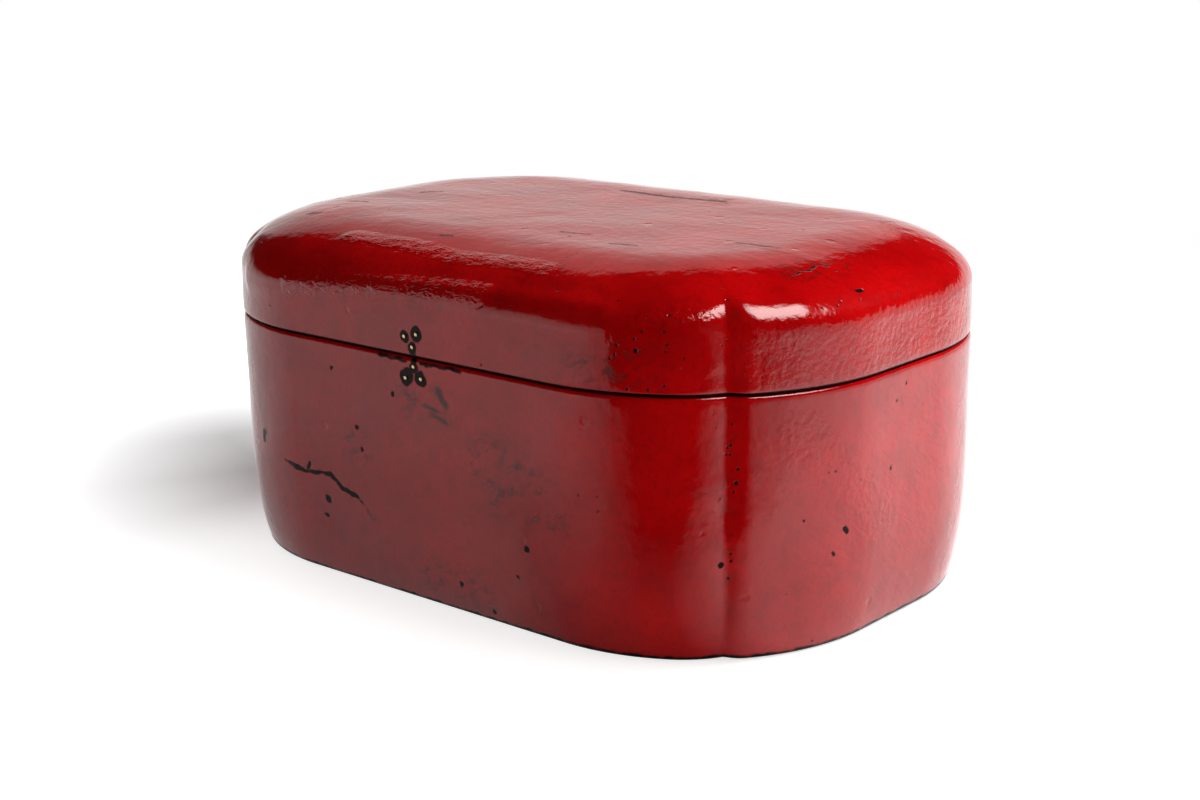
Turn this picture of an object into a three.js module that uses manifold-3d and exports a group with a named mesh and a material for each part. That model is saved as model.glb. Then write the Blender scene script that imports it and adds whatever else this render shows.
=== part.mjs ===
// A lobed lacquer box: a rounded-rectangle case with a groove down the middle of each corner,
// a crowned lid on two nailed hinges at the back, and the nails of a lost clasp at the front.
// Millimetres, +Z up. The origin is the middle of the underside, and the clasp side faces -Y.
import * as THREE from "three";
import { mergeVertices } from "three/addons/utils/BufferGeometryUtils.js";
import Module from "manifold-3d";

const wasm = await Module();
wasm.setup();

// Driving dimensions: the outside of the box
const LENGTH = 360;
const DEPTH = 246;
const CORNER_RADIUS = 99;
const GROOVE_DEPTH = 1.8;
const GROOVE_HALF_WIDTH = 14;
const GROOVE_FADES_FROM = 15; // degrees up the lid's shoulder
const GROOVE_GONE_AT = 53;
const CASE_HEIGHT = 116.5;
const LID_SIDE_HEIGHT = 24;
const CROWN_RISE = 25.5;
const CROWN_SHOULDER = 60;
const FOOT_INSET = 7; // how far the wall draws in at the foot
const FOOT_SHARPNESS = 6; // the power that keeps the drawing-in near the foot

// Driving dimensions: walls, edges and joints between the wooden pieces
const WALL = 9;
const CROWN_THICKNESS = 10;
const BOARD_THICKNESS = 8;
const RABBET_INSET = 12; // where the base board's seat starts, from the wall's face
const LEDGE_WIDTH = 8; // the ledge above that seat
const LEDGE_HEIGHT = 8; // upright face of the ledge, above the board
const COVE_HEIGHT = 24; // the hollow curve from the ledge up to the inner wall
const LIP_THICKNESS = 3;
const LIP_HEIGHT = 6; // above the mouth of the case
const LIP_DEPTH = 14; // glued to the wall below the mouth
const LIP_CLEARANCE = 0.6;
const LIP_CHAMFER = 0.8;
const TONGUE_HEIGHT = 5; // the crown's tongue, seated in the lid rim's rabbet
const TONGUE_SHARE = 0.5; // share of the rim's thickness that stays outside the tongue
const FOOT_EDGE = 1.5;
const MOUTH_EDGE = 1.6;
const LID_EDGE = 0.6;
const SEAM_GAP = 0.4;
const FIT_GAP = 0.3;

// Driving dimensions: the clasp's nails, the hinges and the pegs
const CLASP_NAIL_RADIUS = 0.9;
const CLASP_NAIL_LENGTH = 6.5;
const CLASP_NAIL_PROUD = 0.4;
const HINGE_SPACING = 116; // between the middles of the two hinges
const HINGE_WIDTH = 20;
const LID_KNUCKLE_WIDTH = 7.8;
const LEAF_THICKNESS = 1.2;
const LOBE_RADIUS = 5.2;
const LOBE_SPREAD = 13; // between the two outer lobes of a leaf
const LOBE_REACH = 15.5; // from the hinge line to the outer lobes
const APEX_REACH = 8; // from the hinge line to the lobe nearest to it
const PIN_RADIUS = 1.2;
const PIN_HEAD_RADIUS = 1.9;
const PIN_HEAD_HEIGHT = 0.9;
const NAIL_RADIUS = 0.8;
const NAIL_LENGTH = 6;
const NAIL_HEAD_RADIUS = 1.9;
const NAIL_HEAD_HEIGHT = 0.8;
const PEG_RADIUS = 1.5;
const PEG_LENGTH = 13;
const PEG_SET_IN = 0.3; // how far a peg's end sits above the underside
const LONG_SIDE_PEG_SPACING = 110;
const END_PEG_SPACING = 36;

// Fineness of the curved surfaces
const RUN_STEPS = 4; // along a corner, from a straight run to its groove
const GROOVE_STEPS = 2; // on each side of a groove
const WALL_STEPS = 7;
const CROWN_STEPS = 8;
const COVE_STEPS = 3;
const ROUND_STEPS = 16;
const NAIL_STEPS = 10;
const DOME_STEPS = 3;
const LEAST_PLAN_RADIUS = 4;
const PAST_THE_FACE = 1; // how far a cutter runs past what it cuts

// Heights and places worked out from the driving dimensions
const lidBottom = CASE_HEIGHT + SEAM_GAP;
const shoulderHeight = CASE_HEIGHT + LID_SIDE_HEIGHT;
const topHeight = shoulderHeight + CROWN_RISE;
const tongueBottom = shoulderHeight - TONGUE_HEIGHT;
const ledgeInset = RABBET_INSET + LEDGE_WIDTH;
const ledgeTop = BOARD_THICKNESS + LEDGE_HEIGHT;
const coveTop = ledgeTop + COVE_HEIGHT;
const lipInset = WALL + FIT_GAP;
const lidWall = lipInset - LIP_CLEARANCE;
const tongueSeat = lidWall * TONGUE_SHARE;
const wallFace = DEPTH / 2;
const leafFace = wallFace + FIT_GAP + LEAF_THICKNESS;
const knuckleRadius = LEAF_THICKNESS + NAIL_HEAD_HEIGHT + 2 * FIT_GAP;
const hingeLineY = wallFace + FIT_GAP + knuckleRadius;
const hingeLineZ = CASE_HEIGHT + SEAM_GAP / 2;

const redLacquer = { color: 0x9e1316, roughness: 0.22, metalness: 0 };
const darkLacquer = { color: 0x1f1411, roughness: 0.45, metalness: 0 };
const agedBrass = { color: 0x9a7a45, roughness: 0.42, metalness: 1 };
const bamboo = { color: 0xa98a58, roughness: 0.7, metalness: 0 };

const box = new THREE.Group();

function addPiece(name, geometry, finish) {
  geometry.computeVertexNormals();
  const piece = new THREE.Mesh(geometry, new THREE.MeshStandardMaterial(finish));
  piece.name = name;
  box.add(piece);
  return piece;
}

// Joining and cutting

function solidOf(geometry) {
  const bare = new THREE.BufferGeometry();
  bare.setAttribute("position", geometry.getAttribute("position").clone());
  bare.setIndex(geometry.index ? geometry.index.clone() : null);
  const merged = mergeVertices(bare, 1e-4);
  return new wasm.Manifold(
    new wasm.Mesh({
      numProp: 3,
      vertProperties: new Float32Array(merged.getAttribute("position").array),
      triVerts: new Uint32Array(merged.index.array),
    }),
  );
}

function geometryOf(solid) {
  const { vertProperties, triVerts } = solid.getMesh();
  const geometry = new THREE.BufferGeometry();
  geometry.setAttribute("position", new THREE.BufferAttribute(vertProperties, 3));
  geometry.setIndex(new THREE.BufferAttribute(triVerts, 1));
  return geometry;
}

function cut(geometry, cutters) {
  const left = cutters.reduce((solid, cutter) => solid.subtract(solidOf(cutter)), solidOf(geometry));
  return geometryOf(left);
}

function join(geometries) {
  return geometryOf(geometries.map(solidOf).reduce((all, solid) => all.add(solid)));
}

// Plan outline and the solids that follow it

const grooveAngle = GROOVE_HALF_WIDTH / CORNER_RADIUS;

// Angles round one corner: even steps along it, and finer ones across the groove in its middle.
const cornerAngles = [];
for (let step = 0; step < RUN_STEPS; step++) {
  cornerAngles.push(((Math.PI / 4 - grooveAngle) * step) / RUN_STEPS);
}
for (let step = -GROOVE_STEPS; step <= GROOVE_STEPS; step++) {
  cornerAngles.push(Math.PI / 4 + (grooveAngle * step) / GROOVE_STEPS);
}
for (let step = RUN_STEPS - 1; step >= 0; step--) {
  cornerAngles.push(Math.PI / 2 - cornerAngles[step]);
}

// The outline at a distance in from the wall's face, anticlockwise from above.
function planRing(inset, grooveDepth, height) {
  const radius = Math.max(CORNER_RADIUS - inset, LEAST_PLAN_RADIUS);
  const centreX = LENGTH / 2 - inset - radius;
  const centreY = DEPTH / 2 - inset - radius;
  const quarters = [[1, 1], [-1, 1], [-1, -1], [1, -1]];
  return quarters.flatMap(([sideX, sideY], quarter) =>
    cornerAngles.map((angle) => {
      const fromGroove = Math.min(Math.abs(angle - Math.PI / 4) / grooveAngle, 1);
      const reach = radius - grooveDepth * (1 - fromGroove) ** 2;
      const turn = angle + (quarter * Math.PI) / 2;
      const x = sideX * centreX + reach * Math.cos(turn);
      const y = sideY * centreY + reach * Math.sin(turn);
      return new THREE.Vector3(x, y, height);
    }),
  );
}

// Skins a run of rings. Each ring is { inset, height, groove }, and the run goes up the outside.
function skin(section, closesOnItself) {
  const rings = section.map(({ inset, height, groove = 0 }) => planRing(inset, groove, height));
  const count = rings[0].length;
  const points = rings.flat();
  const triangles = [];
  const strips = closesOnItself ? rings.length : rings.length - 1;
  for (let strip = 0; strip < strips; strip++) {
    const low = strip * count;
    const high = ((strip + 1) % rings.length) * count;
    for (let k = 0; k < count; k++) {
      const next = (k + 1) % count;
      triangles.push(low + k, low + next, high + next, low + k, high + next, high + k);
    }
  }
  if (!closesOnItself) {
    const last = (rings.length - 1) * count;
    const under = points.push(new THREE.Vector3(0, 0, section[0].height)) - 1;
    const over = points.push(new THREE.Vector3(0, 0, section.at(-1).height)) - 1;
    for (let k = 0; k < count; k++) {
      const next = (k + 1) % count;
      triangles.push(under, next, k, over, last + k, last + next);
    }
  }
  const geometry = new THREE.BufferGeometry().setFromPoints(points);
  geometry.setIndex(triangles);
  return geometry;
}

const hoop = (section) => skin(section, true);
const board = (section) => skin(section, false);

// Small turned pieces. Each is turned about an axis along Y, pointing out of the back of the box.

function turned(profile, steps) {
  return new THREE.LatheGeometry(profile.map(([radius, along]) => new THREE.Vector2(radius, along)), steps);
}

// The profile of a domed end, from its rim to the axis
function dome(radius, foot, height) {
  const profile = [];
  for (let step = 0; step < DOME_STEPS; step++) {
    const turn = (step / DOME_STEPS) * (Math.PI / 2);
    profile.push([radius * Math.cos(turn), foot + height * Math.sin(turn)]);
  }
  profile.push([0, foot + height]);
  return profile;
}

function rodAlongY(radius, from, to, steps) {
  return turned([[0, from], [radius, from], [radius, to], [0, to]], steps);
}

function rodAlongX(radius, length, steps) {
  return rodAlongY(radius, -length / 2, length / 2, steps).rotateZ(-Math.PI / 2);
}

function block(width, depth, height) {
  return new THREE.BoxGeometry(width, depth, height);
}

// The six nails that held the lost clasp: where each one stands across the front and from the seam
const claspNails = [
  { name: "clasp_nail_lid_left", across: -4.4, aboveSeam: 9.6 },
  { name: "clasp_nail_lid_right", across: 3.2, aboveSeam: 11.4 },
  { name: "clasp_nail_lid_lower", across: 0.4, aboveSeam: 5.3 },
  { name: "clasp_nail_case_upper", across: 0.8, aboveSeam: -3.6 },
  { name: "clasp_nail_case_left", across: -4.6, aboveSeam: -9.4 },
  { name: "clasp_nail_case_right", across: 5.2, aboveSeam: -8.6 },
];

function atClaspNail(geometry, { across, aboveSeam }) {
  return geometry.rotateX(Math.PI).translate(across, -wallFace, CASE_HEIGHT + aboveSeam);
}

function claspNailHole(nail) {
  const depth = -CLASP_NAIL_LENGTH - FIT_GAP;
  return atClaspNail(rodAlongY(CLASP_NAIL_RADIUS + FIT_GAP, depth, PAST_THE_FACE, NAIL_STEPS), nail);
}

function claspNail(nail) {
  const profile = [
    [0, -CLASP_NAIL_LENGTH],
    [CLASP_NAIL_RADIUS, -CLASP_NAIL_LENGTH + 2 * CLASP_NAIL_RADIUS],
    ...dome(CLASP_NAIL_RADIUS, 0, CLASP_NAIL_PROUD),
  ];
  return atClaspNail(turned(profile, NAIL_STEPS), nail);
}

// The hinge nails: three to a leaf, one in each lobe

const hinges = [
  { side: "left", x: -HINGE_SPACING / 2 },
  { side: "right", x: HINGE_SPACING / 2 },
];
const leaves = [
  { owner: "case", upwards: -1 },
  { owner: "lid", upwards: 1 },
];
const lobes = [
  { name: "inner", across: 0, reach: APEX_REACH },
  { name: "left", across: -LOBE_SPREAD / 2, reach: LOBE_REACH },
  { name: "right", across: LOBE_SPREAD / 2, reach: LOBE_REACH },
];

function atLobe(geometry, hinge, leaf, lobe) {
  return geometry.translate(hinge.x + lobe.across, leafFace, hingeLineZ + leaf.upwards * lobe.reach);
}

function hingeNailHole(hinge, leaf, lobe) {
  const depth = -NAIL_LENGTH - FIT_GAP;
  return atLobe(rodAlongY(NAIL_RADIUS + FIT_GAP, depth, PAST_THE_FACE, NAIL_STEPS), hinge, leaf, lobe);
}

function hingeNail(hinge, leaf, lobe) {
  const profile = [
    [0, -NAIL_LENGTH],
    [NAIL_RADIUS, -NAIL_LENGTH + 2 * NAIL_RADIUS],
    [NAIL_RADIUS, FIT_GAP],
    ...dome(NAIL_HEAD_RADIUS, FIT_GAP, NAIL_HEAD_HEIGHT),
  ];
  return atLobe(turned(profile, NAIL_STEPS), hinge, leaf, lobe);
}

function hingeNailHoles(owner) {
  const leaf = leaves.find((one) => one.owner === owner);
  return hinges.flatMap((hinge) => lobes.map((lobe) => hingeNailHole(hinge, leaf, lobe)));
}

// The pegs that hold the base board up against its ledge

const pegInset = RABBET_INSET + LEDGE_WIDTH / 2;
const pegPlaces = [];
for (const sideX of [-1, 1]) {
  for (const sideY of [-1, 1]) {
    pegPlaces.push([(sideX * LONG_SIDE_PEG_SPACING) / 2, sideY * (DEPTH / 2 - pegInset)]);
    pegPlaces.push([sideX * (LENGTH / 2 - pegInset), (sideY * END_PEG_SPACING) / 2]);
  }
}

function peg(radius, from, to, [x, y]) {
  return rodAlongY(radius, from, to, NAIL_STEPS).rotateX(Math.PI / 2).translate(x, y, 0);
}

const pegHoles = () =>
  pegPlaces.map((place) => peg(PEG_RADIUS + FIT_GAP, -PAST_THE_FACE, PEG_LENGTH + FIT_GAP, place));

// Case: the wall, the base board let in from below, and the lip glued inside the mouth

function footDraw(height) {
  return FOOT_INSET * (1 - height / CASE_HEIGHT) ** FOOT_SHARPNESS;
}

function caseWallSection() {
  const section = [{ inset: footDraw(0) + FOOT_EDGE, height: 0, groove: GROOVE_DEPTH }];
  const span = CASE_HEIGHT - MOUTH_EDGE - FOOT_EDGE;
  for (let step = 0; step <= WALL_STEPS; step++) {
    const height = FOOT_EDGE + span * (step / WALL_STEPS) ** 2;
    section.push({ inset: footDraw(height), height, groove: GROOVE_DEPTH });
  }
  const eased = MOUTH_EDGE * (1 - Math.SQRT1_2);
  section.push({ inset: eased, height: CASE_HEIGHT - eased, groove: GROOVE_DEPTH });
  section.push({ inset: MOUTH_EDGE, height: CASE_HEIGHT, groove: GROOVE_DEPTH });
  section.push({ inset: WALL, height: CASE_HEIGHT });
  for (let step = 0; step <= COVE_STEPS; step++) {
    const turn = (step / COVE_STEPS) * (Math.PI / 2);
    const inset = WALL + (ledgeInset - WALL) * (1 - Math.cos(turn));
    section.push({ inset, height: coveTop - COVE_HEIGHT * Math.sin(turn) });
  }
  section.push({ inset: ledgeInset, height: BOARD_THICKNESS + FIT_GAP });
  section.push({ inset: RABBET_INSET, height: BOARD_THICKNESS + FIT_GAP });
  section.push({ inset: RABBET_INSET, height: 0 });
  return section;
}

const caseNails = claspNails.filter((nail) => nail.aboveSeam < 0);
const caseHoles = [...caseNails.map(claspNailHole), ...hingeNailHoles("case"), ...pegHoles()];
addPiece("case_wall", cut(hoop(caseWallSection()), caseHoles), redLacquer);

const boardInset = RABBET_INSET + FIT_GAP;
const baseBoard = board([
  { inset: boardInset, height: 0 },
  { inset: boardInset, height: BOARD_THICKNESS },
]);
addPiece("base_board", cut(baseBoard, pegHoles()), darkLacquer);

const lipTop = CASE_HEIGHT + LIP_HEIGHT;
const lipFoot = CASE_HEIGHT - LIP_DEPTH;
const mouthLip = hoop([
  { inset: lipInset, height: lipFoot },
  { inset: lipInset, height: lipTop - LIP_CHAMFER },
  { inset: lipInset + LIP_CHAMFER, height: lipTop },
  { inset: lipInset + LIP_THICKNESS, height: lipTop },
  { inset: lipInset + LIP_THICKNESS, height: lipFoot },
]);
addPiece("mouth_lip", mouthLip, darkLacquer);

pegPlaces.forEach((place, order) => {
  addPiece(`base_peg_${order + 1}`, peg(PEG_RADIUS, PEG_SET_IN, PEG_LENGTH, place), bamboo);
});

// Lid: the rim, and the crown whose tongue sits in the rim's rabbet

const rimSection = [
  { inset: LID_EDGE, height: lidBottom, groove: GROOVE_DEPTH },
  { inset: 0, height: lidBottom + LID_EDGE, groove: GROOVE_DEPTH },
  { inset: 0, height: shoulderHeight, groove: GROOVE_DEPTH },
  { inset: tongueSeat, height: shoulderHeight },
  { inset: tongueSeat, height: tongueBottom - FIT_GAP },
  { inset: lidWall, height: tongueBottom - FIT_GAP },
  { inset: lidWall, height: lidBottom },
];
const lidNails = claspNails.filter((nail) => nail.aboveSeam > 0);
const rimHoles = [...lidNails.map(claspNailHole), ...hingeNailHoles("lid")];
addPiece("lid_rim", cut(hoop(rimSection), rimHoles), redLacquer);

// The groove runs up over the shoulder and dies out about half way.
function grooveOnShoulder(turn) {
  const degrees = THREE.MathUtils.radToDeg(turn);
  return GROOVE_DEPTH * (1 - THREE.MathUtils.smoothstep(degrees, GROOVE_FADES_FROM, GROOVE_GONE_AT));
}

function crownSection() {
  const underside = [];
  const outside = [];
  for (let step = 0; step <= CROWN_STEPS; step++) {
    const turn = (step / CROWN_STEPS) * (Math.PI / 2);
    const across = 1 - Math.cos(turn);
    const up = Math.sin(turn);
    underside.unshift({
      inset: lidWall + (CROWN_SHOULDER - lidWall) * across,
      height: shoulderHeight + (CROWN_RISE - CROWN_THICKNESS) * up,
    });
    outside.push({
      inset: CROWN_SHOULDER * across,
      height: shoulderHeight + FIT_GAP + (CROWN_RISE - FIT_GAP) * up,
      groove: grooveOnShoulder(turn),
    });
  }
  const tongue = [
    { inset: lidWall, height: tongueBottom },
    { inset: tongueSeat + FIT_GAP, height: tongueBottom },
    { inset: tongueSeat + FIT_GAP, height: shoulderHeight + FIT_GAP },
  ];
  return [...underside, ...tongue, ...outside];
}

addPiece("lid_crown", board(crownSection()), redLacquer);

for (const nail of claspNails) {
  addPiece(nail.name, claspNail(nail), agedBrass);
}

// Hinges: two trefoil leaves on the back wall, with knuckles on a pin along the seam

const caseKnuckleWidth = (HINGE_WIDTH - LID_KNUCKLE_WIDTH) / 2 - FIT_GAP;
const caseKnuckleX = (HINGE_WIDTH - caseKnuckleWidth) / 2;
const knuckles = {
  case: [{ x: -caseKnuckleX, width: caseKnuckleWidth }, { x: caseKnuckleX, width: caseKnuckleWidth }],
  lid: [{ x: 0, width: LID_KNUCKLE_WIDTH }],
};
const leafMiddle = leafFace - LEAF_THICKNESS / 2;

function hingeLeaf(hinge, leaf) {
  const solids = [];
  for (const { x, width } of knuckles[leaf.owner]) {
    const barrel = rodAlongX(knuckleRadius, width, ROUND_STEPS);
    solids.push(barrel.translate(hinge.x + x, hingeLineY, hingeLineZ));
    const neck = block(width, LEAF_THICKNESS, APEX_REACH);
    solids.push(neck.translate(hinge.x + x, leafMiddle, hingeLineZ + (leaf.upwards * APEX_REACH) / 2));
  }
  const strapFrom = knuckleRadius + 2 * FIT_GAP;
  const strap = block(HINGE_WIDTH, LEAF_THICKNESS, APEX_REACH - strapFrom);
  const strapMiddle = (APEX_REACH + strapFrom) / 2;
  solids.push(strap.translate(hinge.x, leafMiddle, hingeLineZ + leaf.upwards * strapMiddle));
  for (const lobe of lobes) {
    solids.push(atLobe(rodAlongY(LOBE_RADIUS, -LEAF_THICKNESS, 0, ROUND_STEPS), hinge, leaf, lobe));
  }
  const bore = rodAlongX(PIN_RADIUS + FIT_GAP, HINGE_WIDTH + 2 * PAST_THE_FACE, ROUND_STEPS);
  const holes = lobes.map((lobe) => hingeNailHole(hinge, leaf, lobe));
  return cut(join(solids), [bore.translate(hinge.x, hingeLineY, hingeLineZ), ...holes]);
}

function hingePin(hinge) {
  const half = HINGE_WIDTH / 2 + FIT_GAP;
  const profile = [
    [0, -half - PIN_HEAD_HEIGHT],
    [PIN_RADIUS, -half - PIN_HEAD_HEIGHT],
    [PIN_HEAD_RADIUS, -half],
    [PIN_RADIUS, -half],
    [PIN_RADIUS, half],
    [PIN_HEAD_RADIUS, half],
    [PIN_RADIUS, half + PIN_HEAD_HEIGHT],
    [0, half + PIN_HEAD_HEIGHT],
  ];
  return turned(profile, ROUND_STEPS).rotateZ(-Math.PI / 2).translate(hinge.x, hingeLineY, hingeLineZ);
}

for (const hinge of hinges) {
  addPiece(`hinge_${hinge.side}_pin`, hingePin(hinge), agedBrass);
  for (const leaf of leaves) {
    const name = `hinge_${hinge.side}_${leaf.owner}`;
    addPiece(`${name}_leaf`, hingeLeaf(hinge, leaf), agedBrass);
    for (const lobe of lobes) {
      addPiece(`${name}_nail_${lobe.name}`, hingeNail(hinge, leaf, lobe), agedBrass);
    }
  }
}

export default box;
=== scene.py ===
import math
from functools import partial

import bmesh
import bpy
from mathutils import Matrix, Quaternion, Vector, noise


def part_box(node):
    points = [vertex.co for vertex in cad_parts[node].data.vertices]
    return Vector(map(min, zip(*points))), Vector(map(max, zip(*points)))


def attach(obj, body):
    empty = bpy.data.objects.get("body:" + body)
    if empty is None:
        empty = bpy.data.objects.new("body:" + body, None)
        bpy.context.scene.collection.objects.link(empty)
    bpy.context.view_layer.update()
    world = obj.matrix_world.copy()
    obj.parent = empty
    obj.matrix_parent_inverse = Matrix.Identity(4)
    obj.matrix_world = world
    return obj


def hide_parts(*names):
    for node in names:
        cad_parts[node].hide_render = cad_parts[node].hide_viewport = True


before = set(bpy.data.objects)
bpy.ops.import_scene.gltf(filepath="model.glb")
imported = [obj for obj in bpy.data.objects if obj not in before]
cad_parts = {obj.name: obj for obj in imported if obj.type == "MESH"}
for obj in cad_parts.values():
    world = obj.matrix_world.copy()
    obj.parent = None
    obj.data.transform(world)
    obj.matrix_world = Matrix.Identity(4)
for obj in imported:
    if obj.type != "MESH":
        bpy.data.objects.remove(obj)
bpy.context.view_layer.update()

# The case wall: bent and coopered wood under cloth, ground and lacquer, red outside and dark inside.
# A groove runs down the middle of each rounded corner, the foot draws in, the mouth has a rounded
# arris, and the base board's seat is cut into the wall from below.
MM = 0.001
case_low, case_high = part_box("case_wall")
SEAM = case_high.z
CORNER_RADIUS = 99 * MM
CORNER_STEPS = 108
RUN_STEP = 1.7 * MM
WALL = 9 * MM
WALL_RINGS = 46
MOUTH_ROUND = 1.3 * MM
MOUTH_FALL = 2.6 * MM
FOOT_ROUND = 1.5 * MM
FOOT_INSET = 7 * MM
FOOT_SHARPNESS = 6
ROUND_STEPS = 4
RABBET_INSET = 12 * MM
RABBET_HEIGHT = 8.3 * MM
LEDGE_WIDTH = 8 * MM
LEDGE_TOP = 16 * MM
COVE_HEIGHT = 24 * MM
COVE_STEPS = 8
GROOVE_DEPTH = 3.0 * MM
GROOVE_LONG_SIDE = 24 * MM
GROOVE_END_SIDE = 10 * MM
GROOVE_SHARPNESS = 2.0
GROOVE_SOFTNESS = 0.7 * MM
GROOVE_FOOT_TURN = math.radians(44.3)
GROOVE_LEAN = math.radians(-0.45)
GROOVE_WANDER = math.radians(0.25)
GROOVE_WANDER_SPREAD = 22 * MM
GROOVE_UNEVEN = 0.25
GROOVE_UNEVEN_SPREAD = 15 * MM
HAND_DIPS = ((60 * MM, 1.1 * MM), (17 * MM, 0.3 * MM), (7 * MM, 0.08 * MM))
DIP_LEVEL = 0.7
EDGE_CALM = 16 * MM
WELD_BELOW = 0.05 * MM
SMOOTH_BELOW = math.radians(38)


def choose(piece, parts, wanted):
    """Selects, in edit mode, only the verts, edges or faces that pass a test."""
    form = bmesh.from_edit_mesh(piece.data)
    for part in [*form.verts, *form.edges, *form.faces]:
        part.select = False
    for part in getattr(form, parts):
        if wanted(part):
            part.select_set(True)
    bmesh.update_edit_mesh(piece.data)


def apply_place():
    """Makes the place, turn and size of the picked object part of its mesh."""
    bpy.ops.object.transform_apply(location=True, rotation=True, scale=True)


def pick(*pieces):
    """Selects only these pieces, and makes the first of them the active one."""
    bpy.ops.object.select_all(action="DESELECT")
    for piece in pieces:
        piece.select_set(True)
    bpy.context.view_layer.objects.active = pieces[0]


def fill_end(piece, facing):
    """Makes an end face over the selected edges, to look up (1) or down (-1)."""
    bpy.ops.mesh.edge_face_add()
    form = bmesh.from_edit_mesh(piece.data)
    end = next(face for face in form.faces if face.select)
    if end.normal.z * facing < 0:
        bpy.ops.mesh.flip_normals()


def plan_sheet(name, inset, height, facing):
    """A flat sheet with the box's outline, set in from the wall's face, left in edit mode."""
    bpy.ops.mesh.primitive_plane_add(size=1, location=(0, 0, height))
    sheet = bpy.context.object
    sheet.name = name
    sheet.data.name = name
    size = case_high - case_low
    sheet.scale = (size.x - 2 * inset, size.y - 2 * inset, 1)
    apply_place()
    bpy.ops.object.mode_set(mode="EDIT")
    bpy.ops.mesh.select_mode(type="EDGE")
    bpy.ops.mesh.select_all(action="SELECT")
    bpy.ops.mesh.bevel(offset=CORNER_RADIUS - inset, segments=CORNER_STEPS, affect="VERTICES", profile=0.5)
    bpy.ops.mesh.select_all(action="SELECT")
    bpy.ops.mesh.delete(type="ONLY_FACE")
    for axis in (0, 1):
        run = 2 * (case_high[axis] - CORNER_RADIUS)
        choose(sheet, "edges",
               lambda edge: abs(edge.verts[0].co[axis] - edge.verts[1].co[axis]) > 0.9 * run)
        bpy.ops.mesh.subdivide(number_cuts=round(run / RUN_STEP) - 1)
    bpy.ops.mesh.select_all(action="SELECT")
    fill_end(sheet, facing)
    return sheet


def open_end():
    """Takes the selected end face away and leaves edit mode."""
    bpy.ops.mesh.delete(type="ONLY_FACE")
    bpy.ops.object.mode_set(mode="OBJECT")


def step(inwards, along):
    """Draws the selected end face inwards, and along its own normal, leaving a ring of wall."""
    bpy.ops.mesh.inset(thickness=inwards, depth=along, use_even_offset=True, use_boundary=True)


def round_over(across, along, steps, start=0):
    """Steps the selected end face round a quarter of an ellipse, from upright to flat. With a start
    of a quarter turn it goes on from flat to upright."""
    for turn in range(steps):
        this, after = (start + math.pi / 2 * part / steps for part in (turn, turn + 1))
        step(across * (math.cos(this) - math.cos(after)), along * (math.sin(after) - math.sin(this)))


def corner_place(spot):
    """How far in from the wall's face a spot is, and how far round from the nearest groove:
    more than 0 towards the long side, less than 0 towards the end."""
    over_x = abs(spot.x) - (case_high.x - CORNER_RADIUS)
    over_y = abs(spot.y) - (case_high.y - CORNER_RADIUS)
    if over_x > 0 and over_y > 0:
        wander = GROOVE_WANDER * noise.noise(spot / GROOVE_WANDER_SPREAD)
        turn = math.atan2(over_y, over_x) - GROOVE_FOOT_TURN - GROOVE_LEAN * spot.z / SEAM + wander
        return CORNER_RADIUS - math.hypot(over_x, over_y), turn * CORNER_RADIUS
    return CORNER_RADIUS - max(over_x, over_y), CORNER_RADIUS


def press_groove(piece, share_at):
    """Presses the corner grooves into a wall, as deep at each spot as its share says."""
    for vert in piece.data.vertices:
        inset, aside = corner_place(vert.co)
        reach = GROOVE_LONG_SIDE if aside > 0 else GROOVE_END_SIDE
        aside = math.hypot(aside, GROOVE_SOFTNESS) - GROOVE_SOFTNESS
        near = max(0, 1 - aside / reach) ** GROOVE_SHARPNESS
        near *= 1 + GROOVE_UNEVEN * noise.noise(vert.co / GROOVE_UNEVEN_SPREAD)
        middle = Vector((math.copysign(case_high.x - CORNER_RADIUS, vert.co.x),
                         math.copysign(case_high.y - CORNER_RADIUS, vert.co.y), vert.co.z))
        vert.co += (middle - vert.co).normalized() * GROOVE_DEPTH * near * share_at(inset, vert.co.z)


def work_by_hand(piece, share_at):
    """Gives a wall the swells and dips of a surface rubbed down by hand, as much as its share says."""
    shares = "hand_worked"
    group = piece.vertex_groups.new(name=shares)
    for vert in piece.data.vertices:
        inset, _ = corner_place(vert.co)
        group.add([vert.index], share_at(inset, vert.co.z), "REPLACE")
    for spread, depth in HAND_DIPS:
        swell = bpy.data.textures.new("swell", "CLOUDS")
        swell.noise_scale = spread
        swell.noise_depth = 1
        dips = piece.modifiers.new("dips", "DISPLACE")
        dips.texture = swell
        dips.texture_coords = "LOCAL"
        dips.strength = depth
        dips.mid_level = DIP_LEVEL
        dips.vertex_group = shares
        bpy.ops.object.modifier_apply(modifier=dips.name)
    piece.vertex_groups.clear()


def finish_seams(piece):
    """Closes the open edges of a piece with a ring of faces, and turns its faces outwards."""
    bpy.ops.object.mode_set(mode="EDIT")
    bpy.ops.mesh.select_mode(type="EDGE")
    bpy.ops.mesh.select_all(action="SELECT")
    bpy.ops.mesh.remove_doubles(threshold=WELD_BELOW)
    choose(piece, "edges", lambda edge: edge.is_boundary)
    bpy.ops.mesh.bridge_edge_loops()
    bpy.ops.mesh.select_all(action="SELECT")
    bpy.ops.mesh.normals_make_consistent(inside=False)
    bpy.ops.object.mode_set(mode="OBJECT")
    bpy.ops.object.shade_smooth_by_angle(angle=SMOOTH_BELOW)


def colour(code):
    """An sRGB hex colour as linear red, green, blue and alpha."""
    channels = [int(code[place:place + 2], 16) / 255 for place in (1, 3, 5)]
    linear = [c / 12.92 if c <= 0.04045 else ((c + 0.055) / 1.055) ** 2.4 for c in channels]
    return (*linear, 1)


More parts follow.
